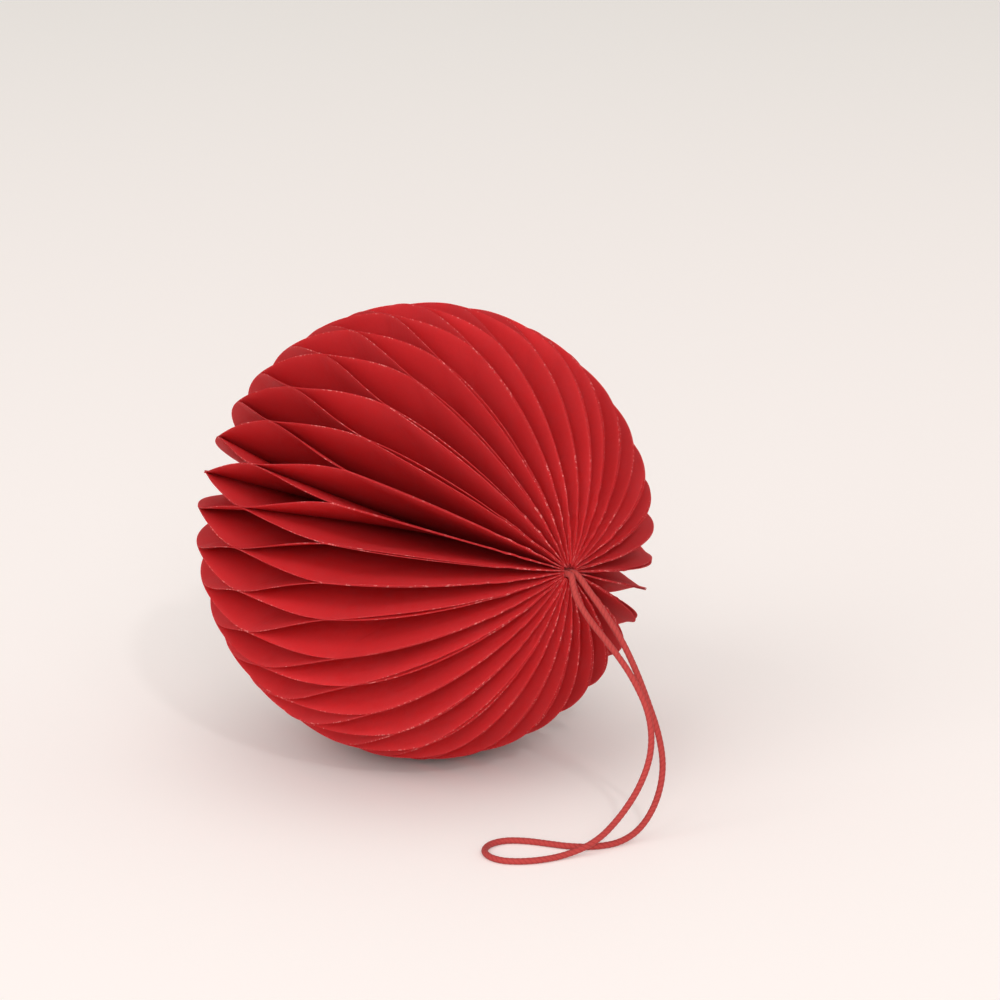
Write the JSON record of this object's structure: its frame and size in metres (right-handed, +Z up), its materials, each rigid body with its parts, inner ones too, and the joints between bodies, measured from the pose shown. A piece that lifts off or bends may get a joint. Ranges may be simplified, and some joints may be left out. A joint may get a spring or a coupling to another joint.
{
  "type": "honeycomb paper ball ornament",
  "caption": "Red honeycomb ball of half-disc paper leaves glued in rings round a spine, lying on its side, with a cord loop from one pole for hanging it.",
  "frame": {"origin": "on the floor under the middle of the ball, at the bottom centre of the box round the ball", "axes": "+Z is up with the ball lying on its side; the spine runs nearly level along Y with its cord end towards -Y; +X is to the right of someone who faces the cord end"},
  "size_m": [0.1096, 0.1475, 0.1096],
  "materials": {
    "paper": "matte uncoated paper",
    "cord": "round twisted cord"
  },
  "bodies": {
    "root": {"leaf_pair_01": "paper", "leaf_pair_02": "paper", "leaf_pair_03": "paper", "leaf_pair_04": "paper", "leaf_pair_05": "paper", "leaf_pair_06": "paper", "leaf_pair_07": "paper", "leaf_pair_08": "paper", "leaf_pair_09": "paper", "leaf_pair_10": "paper", "leaf_pair_11": "paper", "leaf_pair_12": "paper", "leaf_pair_13": "paper", "leaf_pair_14": "paper", "leaf_pair_15": "paper", "leaf_pair_16": "paper", "leaf_pair_17": "paper", "leaf_pair_18": "paper", "leaf_pair_19": "paper", "leaf_pair_20": "paper", "leaf_pair_21": "paper", "leaf_pair_22": "paper", "leaf_pair_23": "paper", "leaf_pair_24": "paper", "leaf_pair_25": "paper", "leaf_pair_26": "paper", "leaf_pair_27": "paper", "leaf_pair_28": "paper", "leaf_pair_29": "paper", "leaf_pair_30": "paper", "leaf_pair_31": "paper", "leaf_pair_32": "paper", "leaf_pair_33": "paper", "leaf_pair_34": "paper", "spine_cord_left": "cord", "spine_cord_right": "cord", "hanging_cord": "cord", "stop_knot": "cord"}
  },
  "joints": []
}
